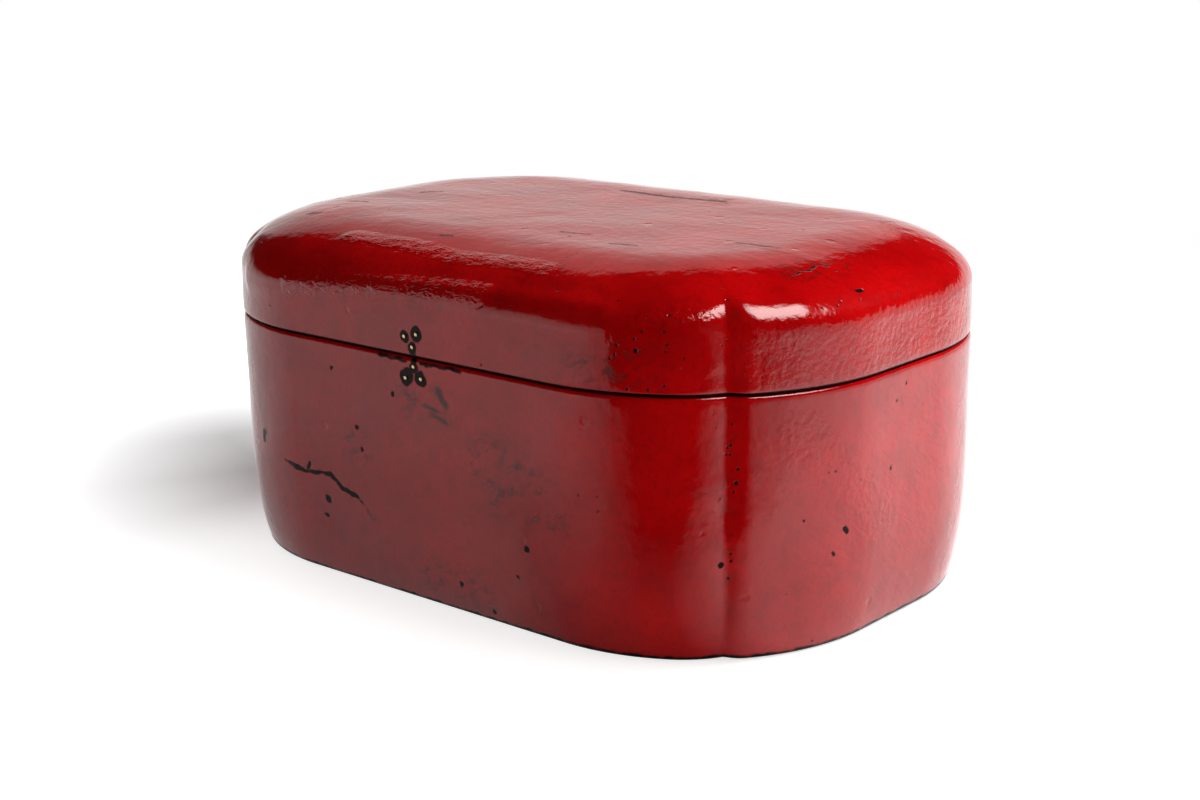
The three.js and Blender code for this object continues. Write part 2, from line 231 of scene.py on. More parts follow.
def add_to(tree, kind, inputs, **settings):
    """Adds a node to a tree, with its settings. Each input is a plain value or another node's output,
    by socket name or number."""
    made = tree.nodes.new("ShaderNode" + kind)
    for name, value in settings.items():
        setattr(made, name, value)
    for socket, value in inputs.items():
        if isinstance(value, bpy.types.NodeSocket):
            tree.links.new(value, made.inputs[socket])
        else:
            made.inputs[socket].default_value = value
    return made.outputs


def new_finish(name):
    """An empty material, what adds a node to it, and the place on the piece in millimetres."""
    finish = bpy.data.materials.new(name)
    finish.use_nodes = True
    finish.node_tree.nodes.clear()
    add = partial(add_to, finish.node_tree)
    metres = add("TexCoord", {})["Object"]
    return finish, add, add("VectorMath", {0: metres, "Scale": 1000.0}, operation="SCALE")[0]


def coat(add, tint, gloss, metal, relief, depth):
    """Ends a material: its colour, roughness and share of metal, and the depth of its relief."""
    normal = add("Bump", {"Height": relief, "Distance": depth})[0]
    surface = add("BsdfPrincipled", {"Base Color": tint, "Metallic": metal, "Roughness": gloss,
                                     "Normal": normal})[0]
    add("OutputMaterial", {"Surface": surface})


def line_distance(add, place, lines):
    """Distance to the nearest of some lines. Each is a list of points, or a bare point for a dot."""
    gaps = []
    for points in lines:
        if isinstance(points, tuple):
            gaps.append(add("VectorMath", {0: place, 1: points}, operation="DISTANCE")["Value"])
            continue
        for start, end in zip(points, points[1:]):
            along = Vector(end) - Vector(start)
            reach = along / along.length_squared
            offset = add("VectorMath", {0: place, 1: start}, operation="SUBTRACT")[0]
            dot = add("VectorMath", {0: offset, 1: reach}, operation="DOT_PRODUCT")["Value"]
            share = add("Clamp", {"Value": dot})[0]
            foot = add("VectorMath", {0: along, "Scale": share}, operation="SCALE")[0]
            gaps.append(add("VectorMath", {0: offset, 1: foot}, operation="DISTANCE")["Value"])
    least = gaps[0]
    for gap in gaps[1:]:
        least = add("Math", {0: least, 1: gap}, operation="MINIMUM")[0]
    return least


def drawn(add, place, strokes, blur):
    """Where strokes lie, from 0 to 1. Each stroke is a half-width and the lines drawn with it."""
    most = None
    for half_width, lines in strokes:
        gap = line_distance(add, place, lines)
        mark = add("MapRange", {"Value": gap, "From Min": half_width + blur / 2,
                                "From Max": half_width - blur / 2})[0]
        most = mark if most is None else add("Math", {0: most, 1: mark}, operation="MAXIMUM")[0]
    return most


def scattered(add, place, apart, channel, chance, radius, near=1.0):
    """How deep inside a spot a place lies. Spots sit at random, some millimetres apart, in those
    cells alone whose own number is above a chance. Radius and depth are shares of a cell."""
    cells = add("TexVoronoi", {"Vector": place, "Scale": 1 / apart})
    number = add("SeparateColor", {"Color": cells["Color"]})[channel]
    size = add("MapRange", {"Value": number, "From Min": chance, "To Max": radius})[0]
    size = add("Math", {0: size, 1: near}, operation="MULTIPLY")[0]
    return add("Math", {0: size, 1: cells["Distance"]}, operation="SUBTRACT")[0]


def streaked(add, place, cells, **inputs):
    """Noise drawn out into streaks, by how many of its cells lie in a millimetre along x, y and z.
    The rest are inputs of the noise."""
    place = add("VectorMath", {0: place, 1: cells}, operation="MULTIPLY")[0]
    return add("TexNoise", {"Vector": place, "Scale": 1.0, "Detail": 2.0, **inputs})["Fac"]


def red_lacquer(name, stains, losses, pits, rubs, scuffs_and_crease_shade, dotted, rippled, crinkled):
    """Many thin brushed coats of cinnabar lacquer over a black under-coat, glossy and a little wavy.
    Where it is stained, chipped or pitted through, the black shows with a thin step at its edge.
    Rubs are soft dark smears, and scuffed patches hold many of them; on the case, one thin patch down a
    groove's crease is painted shade. The last three say where burst bubbles, ripples and crinkles lie. All
    are strokes in millimetres."""
    finish, add, place = new_finish(name)
    ragged = add("TexNoise", {"Vector": place, "Scale": 1 / 4.5, "Detail": 3.0})["Color"]
    sway = add("VectorMath", {0: ragged, 1: (0.5, 0.5, 0.5)}, operation="SUBTRACT")[0]
    sway = add("VectorMath", {0: sway, "Scale": 3.0}, operation="SCALE")[0]
    torn = add("VectorMath", {0: place, 1: sway}, operation="ADD")[0]
    nicked = add("VectorMath", {0: sway, "Scale": 0.35}, operation="SCALE")[0]
    nicked = add("VectorMath", {0: place, 1: nicked}, operation="ADD")[0]
    stained = drawn(add, torn, stains, blur=0.6)
    worn = drawn(add, torn, losses, blur=0.5)
    holes = drawn(add, nicked, pits, blur=0.4)

    # Pits up to 1 mm in radius in one cell of five, specks in one of four, and the bubbles that burst
    # as the lacquer dried. After its cells, each has the depths between which it darkens, and how far
    bubbly = drawn(add, place, dotted, blur=3.0)
    for cells, rim, full, darkness in (((12, "Red", 0.8, 0.1), -0.01, 0.02, 1.0),
                                       ((7, "Red", 0.75, 0.08), -0.04, 0.04, 0.8),
                                       ((4.5, "Green", 0.5, 0.15, bubbly), -0.02, 0.05, 1.0)):
        depth = scattered(add, torn, *cells)
        mark = add("MapRange", {"Value": depth, "From Min": rim, "From Max": full, "To Max": darkness})[0]
        holes = add("Math", {0: holes, 1: mark}, operation="MAXIMUM")[0]
    worn = add("Math", {0: worn, 1: holes}, operation="MAXIMUM")[0]

    # Dents that the lacquer has filled, in two cells of five
    dented = scattered(add, torn, 15, "Blue", 0.6, 0.2)
    dented = add("MapRange", {"Value": dented, "From Max": 0.12}, interpolation_type="SMOOTHSTEP")[0]

    # Scuffs: dark smears, 4 to 8 mm long, inside worn patches, and rubs one by one. A thin patch down a
    # groove's crease is painted shade
    slanted = add("VectorRotate", {"Vector": torn, "Angle": math.radians(25)}, rotation_type="Y_AXIS")[0]
    streaks = streaked(add, slanted, (1 / 8, 1 / 5, 1 / 4), Detail=5.0, Roughness=0.65)
    streaks = add("MapRange", {"Value": streaks, "From Min": 0.5, "From Max": 0.64, "To Max": 0.6})[0]
    patches = drawn(add, torn, scuffs_and_crease_shade, blur=10.0)
    scuffed = add("Math", {0: streaks, 1: patches}, operation="MULTIPLY")[0]
    rubbed = drawn(add, torn, rubs, blur=1.4)
    rubbed = add("Math", {0: rubbed, 1: 0.85}, operation="MULTIPLY")[0]
    scuffed = add("Math", {0: scuffed, 1: rubbed}, operation="MAXIMUM")[0]

    # The foot is rubbed black and painted with the shade where it meets the floor, and grime with the
    # painted shade of the gap fills the seam between case and lid
    height = add("SeparateXYZ", {"Vector": torn})["Z"]
    foot = add("MapRange", {"Value": height, "From Min": 2.5, "From Max": 1.3})[0]
    worn = add("Math", {0: worn, 1: foot}, operation="MAXIMUM")[0]
    across, _, height = add("SeparateXYZ", {"Vector": place}).values()
    from_seam = add("Math", {0: height, 1: SEAM / MM + 0.85}, operation="SUBTRACT")[0]
    from_seam = add("Math", {0: from_seam}, operation="ABSOLUTE")[0]
    grime_and_gap_shade = add("MapRange", {"Value": from_seam, "From Min": 1.0, "From Max": 0.75})[0]

    bare = add("Math", {0: stained, 1: worn}, operation="MAXIMUM")[0]
    bare = add("Math", {0: bare, 1: grime_and_gap_shade}, operation="MAXIMUM")[0]
    dark = add("Math", {0: bare, 1: scuffed}, operation="MAXIMUM")[0]
    cloudy, peel, grain, ripple = (
        add("TexNoise", {"Vector": place, "Scale": 1 / spread, "Detail": detail})["Fac"]
        for spread, detail in ((40, 4.0), (5, 3.0), (1.6, 1.0), (3.0, 2.0)))
    shade = add("MapRange", {"Value": cloudy, "From Min": 0.35, "From Max": 0.65})[0]
    tint = add("Mix", {0: shade, 6: colour("#a90205"), 7: colour("#c00508")}, data_type="RGBA")[2]
    blotchy = add("TexNoise", {"Vector": torn, "Scale": 1 / 9, "Detail": 4.0})["Fac"]
    blotch = add("MapRange", {"Value": blotchy, "From Min": 0.5, "From Max": 0.75, "To Max": 0.4})[0]
    mottled = add("TexNoise", {"Vector": torn, "Scale": 1 / 2.2, "Detail": 3.0, "Roughness": 0.6})["Fac"]
    mottle = add("MapRange", {"Value": mottled, "From Min": 0.5, "From Max": 0.72, "To Max": 0.45})[0]
    for share, tone in ((blotch, "#860204"), (mottle, "#8a0508"), (dark, "#120b09")):
        tint = add("Mix", {0: share, 6: tint, 7: colour(tone)}, data_type="RGBA")[2]

    # Relief in millimetres: brush marks along the box and aslant on its ends, orange peel, ripples,
    # crinkles and lost flakes
    brushed = streaked(add, place, (1 / 60, 1 / 9, 1 / 9))
    aslant = add("VectorRotate", {"Vector": torn, "Angle": math.radians(40)}, rotation_type="X_AXIS")[0]
    aslant = streaked(add, aslant, (1 / 40, 1 / 16, 1 / 3))
    aslant = add("MapRange", {"Value": aslant, "From Min": 0.5, "From Max": 0.66})[0]
    to_end = add("Math", {0: across}, operation="ABSOLUTE")[0]
    to_end = add("MapRange", {"Value": to_end, "From Min": 125.0, "From Max": 170.0})[0]
    ripple_near = drawn(add, place, rippled, blur=8.0)
    folds = streaked(add, torn, (1 / 6, 1 / 2.8, 1 / 2.8), Distortion=1.2)
    folds_near = drawn(add, torn, crinkled, blur=4.0)
    relief = 0.0
    for pattern, near, depth in ((brushed, 1.0, 0.1), (peel, 1.0, 0.2), (grain, 1.0, 0.02),
                                 (ripple, ripple_near, 0.45), (aslant, to_end, 0.04),
                                 (folds, folds_near, 0.9), (dented, 1.0, -0.25), (worn, 1.0, -0.15)):
        part = add("Math", {0: pattern, 1: near}, operation="MULTIPLY")[0]
        relief = add("Math", {0: part, 1: depth, 2: relief}, operation="MULTIPLY_ADD")[0]

    gloss = add("MapRange", {"Value": blotchy, "From Min": 0.3, "From Max": 0.7,
                             "To Min": 0.045, "To Max": 0.09})[0]
    for dulled, rougher in ((dark, 0.35), (ripple_near, 0.06)):
        gloss = add("Math", {0: dulled, 1: rougher, 2: gloss}, operation="MULTIPLY_ADD")[0]

    # Holes, stains, the foot and the seam give back no light, which is what a black metal does in this
    # shader. In the holes, at the foot and in the seam this is painted shade over the black that shows
    # there.
    # The flat edges that meet at the seam keep their sheen.
    facing = add("TexCoord", {})["Normal"]
    level = add("SeparateXYZ", {"Vector": facing})["Z"]
    level = add("Math", {0: level}, operation="ABSOLUTE")[0]
    upright = add("MapRange", {"Value": level, "From Min": 0.98, "From Max": 0.9, "To Max": 0.85})[0]
    sheenless = add("Math", {0: bare, 1: upright}, operation="MULTIPLY")[0]
    coat(add, tint, gloss, sheenless, relief, MM)
    return finish


# The case's wear, as half-widths and lines on the wall, and one painted shade. The stain is what the plate
# of the lost clasp left behind. A long crack and its chips lie to the left of it, pits line the near
# groove, and a faint painted shade runs down that groove's crease.
front = case_low.y / MM
seam = SEAM / MM
case_lacquer = red_lacquer(
    "red_lacquer_case",
    stains=[
        (1.9, [[(0.6, front, seam), (0.7, front, seam - 4)]]),
        (2.8, [(0.7, front, seam - 4.2)]),
        (3.9, [[(-4.8, front, seam - 9.6), (-3.4, front, seam - 8.2)]]),
        (3.5, [[(4.6, front, seam - 8.4), (5.4, front, seam - 9)]]),
        (0.9, [[(-22, front, seam - 1.3), (-4, front, seam - 1.5)],
               [(5, front, seam - 1.6), (30, front, seam - 1.3)]]),
    ],
    losses=[
        (1.5, [[(-96, front, 53), (-86, front, 51), (-77, front, 50), (-59, front, 51.5), (-51, front, 46),
                (-41, front, 44)], [(-76, front, 50), (-74, front, 54)]]),
        (1.0, [[(-41, front, 44), (-34, front, 38)]]),
        (2.6, [(-62, front, 39)]),
        (2.2, [(-64, front, 30)]),
        (1.8, [(66, front, 41), [(-112, -118, 62), (-113, -117.5, 58)]]),
        (1.4, [(-84, front, 29), (-36, front, 68), (-39, front, 78), (-54, front, 104),
               (-14, front, 98), (23, -120, 15), (41, -118, 5)]),
    ],
    pits=[
        (0.6, [(148, -94.8, 104), (147.7, -95.2, 99), (147.1, -96.1, 91), (143.5, -100.5, 61),
               (151.7, -89.6, 105), (151.5, -89.7, 96), (150.4, -90.4, 95), (149.9, -90.9, 92),
               (151.3, -89.8, 92), (152.5, -89.2, 76), (151.4, -89.6, 49), (151.4, -89.5, 46),
               (150.2, -89.8, 38), (154.2, -88.3, 86), (175.5, -53.4, 80), (176.5, -50.2, 80),
               (180, 5, 97), (180, 12, 96), (180, 2, 91), (178.7, 24.5, 29), (166.7, -70.9, 29),
               (169, -55, 4), (171, -65, 61), (179.3, -35.4, 73)]),
        (0.9, [[(148.6, -93.2, 73), (148, -94.4, 70)], (153.5, -88.7, 80),
               [(176, -50.6, 44), (176.3, -50, 43)]]),
        (1.4, [(148.5, -92.4, 44), [(177.7, -44.2, 53.5), (178, -43, 52)]]),
    ],
    rubs=[
        (1.8, [[(16, front, 104), (20, front, 98)]]),
        (1.1, [[(7, front, 96), (15, front, 94.5)], [(12, front, 92.5), (20, front, 90)],
               [(-34, front, 38), (-28, front, 33)]]),
    ],
    scuffs_and_crease_shade=[
        (12, [[(44, front, 77), (64, front, 73)], [(49, front, 65), (79, front, 62)]]),
        (9, [[(-2, front, 96), (20, front, 98)], [(3, -120, 15), (34, -119, 12)]]),
        (8, [[(-40, front, 72), (-36, front, 66)]]),
        # A faint dark line down the crease of the near groove: painted shade
        (1, [[(150.4, -90.4, 108), (150.4, -90.2, 24)]]),
    ],
    dotted=[(3, [[(147.6, -95.4, 108), (147.2, -95, 30)], [(152.4, -89.2, 112), (152, -89, 24)]]),
            (5, [[(150, 92, 112), (150, 92, 20)], [(-150, -92, 112), (-150, -92, 20)]])],
    rippled=[(12, [[(172, -64, 96), (180, -20, 52)]])],
    crinkled=[(3, [[(-60, front, 3), (20, front, 3)]])],
)

bpy.ops.object.select_all(action="DESELECT")
case = plan_sheet("lacquered_case", 0, SEAM - MOUTH_FALL, facing=-1)
case.data.materials.append(case_lacquer)
wall_height = SEAM - MOUTH_FALL - FOOT_ROUND
inset = 0
for ring in range(1, WALL_RINGS + 1):
    height = SEAM - MOUTH_FALL - wall_height * ring / WALL_RINGS
    drawn_in = FOOT_INSET * (1 - height / SEAM) ** FOOT_SHARPNESS
    step(drawn_in - inset, wall_height / WALL_RINGS)
    inset = drawn_in
round_over(FOOT_ROUND, FOOT_ROUND, ROUND_STEPS)
step(RABBET_INSET - inset - FOOT_ROUND, 0)
step(0, -RABBET_HEIGHT)
step(LEDGE_WIDTH, 0)
bpy.ops.mesh.delete(type="ONLY_FACE")
choose(case, "edges", lambda edge: edge.is_boundary and edge.verts[0].co.z > SEAM / 2)
fill_end(case, 1)
round_over(MOUTH_ROUND, MOUTH_FALL, ROUND_STEPS)
open_end()
press_groove(case, lambda inset, height: 1 if inset < RABBET_INSET - MM else 0)
work_by_hand(case, lambda inset, height: min(1, (SEAM - height) / EDGE_CALM, height / EDGE_CALM)
             if inset < RABBET_INSET - MM else 0)

# Dark lacquer: two or three coats of brown-black lacquer, brushed on inside and left unpolished,
# which shows as a satin gloss with soft brush marks.
dark_lacquer, add, place = new_finish("dark_lacquer")
cloudy = add("TexNoise", {"Vector": place, "Scale": 1 / 30, "Detail": 5.0})["Fac"]
tint = add("Mix", {0: cloudy, 6: colour("#1a100d"), 7: colour("#3a241d")}, data_type="RGBA")[2]
brushed = streaked(add, place, (1 / 50, 1 / 50, 1 / 3), Detail=3.0)
gloss = add("MapRange", {"Value": cloudy, "To Min": 0.3, "To Max": 0.5})[0]
coat(add, tint, gloss, 0.0, brushed, 0.15 * MM)

inside = plan_sheet("case_inside", WALL, SEAM, facing=1)
inside.data.materials.append(dark_lacquer)
step(0, -(SEAM - LEDGE_TOP - COVE_HEIGHT))
round_over(RABBET_INSET + LEDGE_WIDTH - WALL, -COVE_HEIGHT, COVE_STEPS)
step(0, -(LEDGE_TOP - RABBET_HEIGHT))
open_end()
pick(case, inside)
bpy.ops.object.join()
finish_seams(case)
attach(case, "case")
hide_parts("case_wall")

# The base board: one thin board with eased edges, let into the wall from below and lacquered dark.
# Each peg that holds it stands in a bored hole.
BOARD_INSET = 12.3 * MM
BOARD_THICKNESS = 8 * MM
BOARD_ROUND = 0.7 * MM
PEG_HOLE_RADIUS = 1.8 * MM
board = plan_sheet("lacquered_base_board", BOARD_INSET, BOARD_ROUND, facing=-1)
board.data.materials.append(dark_lacquer)
round_over(BOARD_ROUND, BOARD_ROUND, ROUND_STEPS)
choose(board, "edges", lambda edge: edge.is_boundary)
fill_end(board, 1)
step(0, BOARD_THICKNESS - 2 * BOARD_ROUND)
round_over(BOARD_ROUND, BOARD_ROUND, ROUND_STEPS)
bpy.ops.object.mode_set(mode="OBJECT")
pegs = [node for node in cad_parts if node.startswith("base_peg_")]


def cut_or_join(piece, other, operation):
    """Cuts another object out of a piece, or joins it on, and clears the other away."""
    pick(piece)
    work = piece.modifiers.new("work", "BOOLEAN")
    work.operation = operation
    work.object = other
    work.solver = "EXACT"
    bpy.ops.object.modifier_apply(modifier=work.name)
    bpy.data.objects.remove(other)


for peg in pegs:
    peg_low, peg_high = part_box(peg)
    middle = (peg_low + peg_high) / 2
    bpy.ops.mesh.primitive_cylinder_add(vertices=24, radius=PEG_HOLE_RADIUS, depth=4 * BOARD_THICKNESS,
                                        location=(middle.x, middle.y, 0))
    apply_place()
    cut_or_join(board, bpy.context.object, "DIFFERENCE")
bpy.ops.object.shade_smooth_by_angle(angle=SMOOTH_BELOW)
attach(board, "case")
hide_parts("base_board")

# The pegs: split bamboo, driven up through the board into the ledge. Their ends show
# pale wood with the dark dots of the fibre bundles, about 0.4 mm apart.
bamboo, add, place = new_finish("split_bamboo")
fibres = add("VectorMath", {0: place, 1: (2.5, 2.5, 0.1)}, operation="MULTIPLY")[0]
fibres = add("TexVoronoi", {"Vector": fibres, "Scale": 1.0})["Distance"]
core = add("MapRange", {"Value": fibres, "From Min": 0.2, "From Max": 0.5})[0]
tint = add("Mix", {0: core, 6: colour("#6f5230"), 7: colour("#b3925e")}, data_type="RGBA")[2]
coat(add, tint, 0.65, 0.0, core, 0.05 * MM)
for peg in pegs:
    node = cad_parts[peg]
    node.data.materials.clear()
    node.data.materials.append(bamboo)

# The lip: a thin strip bent round inside the mouth and glued there, rounded on top,
# over which the lid's rim drops.
LIP_INSET = 9.3 * MM
LIP_THICKNESS = 3 * MM
LIP_ROUND = 0.9 * MM
LIP_FOOT, LIP_TOP = (corner.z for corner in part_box("mouth_lip"))
lip = plan_sheet("lacquered_lip", LIP_INSET, LIP_FOOT, facing=1)
lip.data.materials.append(dark_lacquer)
step(0, LIP_TOP - LIP_FOOT - LIP_ROUND)
round_over(LIP_ROUND, LIP_ROUND, ROUND_STEPS)
step(LIP_THICKNESS - 2 * LIP_ROUND, 0)
round_over(LIP_ROUND, LIP_ROUND, ROUND_STEPS, start=math.pi / 2)
step(0, -(LIP_TOP - LIP_FOOT - LIP_ROUND))
open_end()
finish_seams(lip)
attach(lip, "case")
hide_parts("mouth_lip")

# The lid: an upright rim and a crowned top board glued into it, lacquered over as one skin.
# The corner grooves run up its shoulder and die out between two swellings, and the lacquer
# has shrunk into crinkles along the front of the shoulder.
rim_low, rim_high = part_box("lid_rim")
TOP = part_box("lid_crown")[1].z
LID_WALL = 8.7 * MM
LID_ROUND = 2.2 * MM
SIDE_RINGS = 12
SHOULDER = 60 * MM
SHOULDER_RINGS = 46
TOP_RINGS = 10
CROWN_THICKNESS = 10 * MM
INSIDE_RINGS = 14
GROOVE_FADES_FROM = math.radians(18)
GROOVE_GONE_AT = math.radians(46)
SWELLINGS = [
    (1.6 * MM, 6.0, [[(-118, -114, 137), (-96, -121, 138), (-72, -122, 140), (-24, -121, 146),
                      (26, -119, 149), (76, -118, 150), (104, -115, 150)]]),
    (1.0 * MM, 5.5, [[(149, -83, 154), (143, -95, 150), (134, -106, 145)]]),
    (1.1 * MM, 8.0, [[(157, -80, 150.5), (166, -64, 150.5)]]),
]
CRINKLE_DEPTH = 0.9 * MM
CRINKLE_REACH = 5.0
CRINKLE_STRAY = 4
CRINKLE_STRAY_SPREAD = 14
CRINKLE_LENGTHS = (9, 4.5, 4.5)
CRINKLE_SWIRL = 0.8
CRINKLE_SWIRL_SPREAD = 5
CRINKLE_SEED = 5
shoulder_foot = rim_high.z
rise = TOP - shoulder_foot
top = TOP / MM
crinkles = [
    [(-64, -97, 161), (-18, -98, 161), (10, -101, 160), (46, -99, 160.5), (62, -100, 160)],
    [(-80, -122, 140), (-46, -122, 143.5), (-8, -121, 147.5), (16, -120, 149), (40, -119, 150.5)],
]
lid_lacquer = red_lacquer(
    "red_lacquer_lid",
    stains=[
        (3.7, [(3.2, front, seam + 11.4)]),
        (2.9, [(-4.4, front, seam + 9.4), (0.4, front, seam + 5.2)]),
        (1.8, [[(0.4, front, seam + 5), (0.6, front, seam)]]),
    ],
    losses=[
        (0.6, [[(153, -49, 160), (153.4, -45, 160.5)], [(152.7, -43, 161), (154, -38, 160.8)],
               [(153.4, -36.5, 161), (152.6, -31, 162)], [(153, -29.5, 161.8), (155.5, -27, 161)],
               (159, -27, 159.3)]),
        (0.7, [[(47, -120, 148), (50, -120, 147)], [(40, -122, 144), (44, -122, 145.5)],
               [(58, -121, 147), (61, -120.5, 147)]]),
    ],
    pits=[
        (0.6, [(108.4, -108.9, 154), (123.7, -112.8, 144), (121.3, -114.4, 141),
               (114.3, -117.2, 138), (133.2, -108.1, 139), (132.8, -108.4, 136),
               (113.4, -117.6, 134), (111.4, -118.2, 132), (118.2, -115.7, 120),
               (126.2, -112.1, 120), (132.1, -108.8, 122), (131.2, -104.3, 150),
               (145.6, -84.8, 155), (164.3, -63.8, 152), (171.1, -54.1, 150),
               (173.3, -46.2, 150), (173, -43.3, 151), (176, -21, 149), (177, -7, 148),
               (175, -32.4, 150), (139.6, -80.1, 159), (148.5, -93.8, 121),
               (148.1, -94.5, 119), (149.1, -92.6, 138), (78, -112, 155), (43, front, 120)]),
        (1.0, [(121.8, -114.2, 136), [(172, -30, 153), (172.4, -27, 153)]]),
    ],
    rubs=[
        (2.2, [[(-29, 57, top), (6, 55, top), (34, 59, top)]]),
        (1.3, [[(25, -51, top), (40, -49, top)], [(108, -27, top), (128, -25, top)],
               [(63, -60, top), (75, -57, top)]]),
        (1.6, [[(-18, -84, 164), (-13, -83, 165)], [(-117.5, -77.8, 163), (-111.8, -75.4, 164)],
               [(-119.7, -47.6, top), (-111, -44.4, top)], [(-110, -7, top), (-104, 1, top)]]),
    ],
    scuffs_and_crease_shade=[(9, [[(-30, 57, top), (34, 58, top)], [(152, -46, 160), (155, -24, 161)]]),
            (8, [[(95, -121, 125), (120, -115, 128)], [(-150, -47, 161), (-138, -31, 165)]])],
    dotted=[(12, [[(118, -116, 138), (134, -108, 138)]]), (8, [[(168, -50, 152), (176, -12, 150)]]),
            (5, [[(152, -92, 148), (152, -92, 120)]])],
    rippled=[(15, [[(163, -79, 132), (176, -50, 132), (180, 10, 131), (180, 50, 131)]]),
             (7, [[(128, -106, 150), (142, -95, 152)]])],
    crinkled=[(4.5, crinkles)],
)


def crown_over(width, height, rings):
    """Steps the selected end face over an elliptical shoulder, then closes it in rings to the middle."""
    round_over(width, height, rings)
    for ring in range(TOP_RINGS, 1, -1):
        step(0, 0)
        shrink = (ring - 1) / ring
        bpy.ops.transform.resize(value=(shrink, shrink, 1), center_override=(0, 0, 0))


lid = plan_sheet("lacquered_lid", 0, rim_low.z + LID_ROUND, facing=1)
lid.data.materials.append(lid_lacquer)
for ring in range(SIDE_RINGS):
    step(0, (shoulder_foot - rim_low.z - LID_ROUND) / SIDE_RINGS)
crown_over(SHOULDER, rise, SHOULDER_RINGS)
choose(lid, "edges", lambda edge: edge.is_boundary)
fill_end(lid, -1)
round_over(LID_ROUND, LID_ROUND, ROUND_STEPS)
open_end()


def lid_groove(inset, height):
    """How much of the groove is left at a height, as it dies out up the shoulder."""
    climb = math.asin(min(1, max(0, (height - shoulder_foot) / rise)))
    fade = min(1, max(0, (climb - GROOVE_FADES_FROM) / (GROOVE_GONE_AT - GROOVE_FADES_FROM)))
    return 1 - fade * fade * (3 - 2 * fade)


def gap_to(spot, lines):
    """How far a spot is from the nearest of some lines, all in millimetres."""
    gaps = []
    for points in lines:
        for start, end in zip(points, points[1:]):
            along = Vector(end) - Vector(start)
            offset = spot - Vector(start)
            share = min(1, max(0, offset.dot(along) / along.length_squared))
            gaps.append((offset - along * share).length)
    return min(gaps)


press_groove(lid, lid_groove)
work_by_hand(lid, lambda inset, height: min(1, max(0, (height - rim_low.z) / EDGE_CALM)))
noise.seed_set(CRINKLE_SEED)
outwards = [vert.normal.copy() for vert in lid.data.vertices]
for vert in lid.data.vertices:
    spot = vert.co / MM
    swelling = sum(height * math.exp(-(gap_to(spot, ridge) / width) ** 2)
                   for height, width, ridge in SWELLINGS)
    strayed = spot + CRINKLE_STRAY * noise.noise_vector(spot / CRINKLE_STRAY_SPREAD)
    crinkled = max(0, 1 - gap_to(strayed, crinkles) / CRINKLE_REACH)
    swirl = Vector(part / length for part, length in zip(spot, CRINKLE_LENGTHS))
    swirl += CRINKLE_SWIRL * noise.noise_vector(spot / CRINKLE_SWIRL_SPREAD)
    vert.co += outwards[vert.index] * (swelling + CRINKLE_DEPTH * noise.noise(swirl) * crinkled)

inside = plan_sheet("lid_inside", LID_WALL, rim_low.z, facing=-1)
inside.data.materials.append(dark_lacquer)
step(0, -(shoulder_foot - rim_low.z))
crown_over(SHOULDER - LID_WALL, -(rise - CROWN_THICKNESS), INSIDE_RINGS)
bpy.ops.object.mode_set(mode="OBJECT")
pick(lid, inside)
bpy.ops.object.join()
finish_seams(lid)
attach(lid, "lid")
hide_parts("lid_rim", "lid_crown")

# The clasp's nails: brass wire, snipped off when the plates were lost, with their ends
# standing a little proud of the stain.
NAIL_STEPS = 20
NAIL_POINT = 0.15 * MM
CLASP_NAIL_RADIUS = 0.9 * MM
CLASP_NAIL_LENGTH = 6.5 * MM
CLASP_NAIL_PROUD = 0.4 * MM

# Aged brass: rolled or drawn, then browned and dulled by handling. Patches a few millimetres
# across are darker and rougher, and fine rubbing marks stay bright.
aged_brass, add, place = new_finish("aged_brass")
patchy = add("TexNoise", {"Vector": place, "Scale": 1 / 4, "Detail": 4.0})["Fac"]
patch = add("MapRange", {"Value": patchy, "From Min": 0.4, "From Max": 0.62})[0]
rubbed = streaked(add, place, (1 / 5, 3.0, 3.0))
tint = add("Mix", {0: patch, 6: colour("#b8975a"), 7: colour("#6b4f2b")}, data_type="RGBA")[2]
gloss = add("MapRange", {"Value": patch, "To Min": 0.34, "To Max": 0.58})[0]
coat(add, tint, gloss, 1.0, rubbed, 0.04 * MM)

# Bare brass: wire snipped through and rubbed bright, so that its ends are pale and clean,
# with the fine marks of the file.
bare_brass, add, place = new_finish("bare_brass")
filed = streaked(add, place, (6.0, 1.0, 1.5))
tint = add("Mix", {0: filed, 6: colour("#f6dcb0"), 7: colour("#e0bd86")}, data_type="RGBA")[2]
coat(add, tint, 0.38, 1.0, filed, 0.03 * MM)


def turned(name, profile):
    """A turned piece standing on its axis: each step of the profile is a radius and a height."""
    radius, height = profile[0]
    bpy.ops.mesh.primitive_circle_add(vertices=NAIL_STEPS, radius=radius, fill_type="NGON",
                                      location=(0, 0, height))
    piece = bpy.context.object
    piece.name = name
    piece.data.materials.append(aged_brass)
    apply_place()
    bpy.ops.object.mode_set(mode="EDIT")
    bpy.ops.mesh.select_mode(type="FACE")
    bpy.ops.mesh.select_all(action="SELECT")
    for wider, higher in profile[1:]:
        bpy.ops.mesh.extrude_region_move(TRANSFORM_OT_translate={"value": (0, 0, higher - height)})
        bpy.ops.transform.resize(value=(wider / radius, wider / radius, 1), center_override=(0, 0, 0))
        radius, height = wider, higher
    bpy.ops.mesh.select_all(action="SELECT")
    bpy.ops.mesh.normals_make_consistent(inside=False)
    bpy.ops.object.mode_set(mode="OBJECT")
    bpy.ops.object.shade_smooth_by_angle(angle=SMOOTH_BELOW)
    return piece


def set_in_place(model, name, turn, place):
    """A copy of a model, with its own mesh, turned and moved to its place."""
    piece = model.copy()
    piece.data = model.data.copy()
    piece.name = name
    piece.data.name = name
    bpy.context.scene.collection.objects.link(piece)
    piece.rotation_euler = turn
    piece.location = place
    pick(piece)
    apply_place()
    return piece


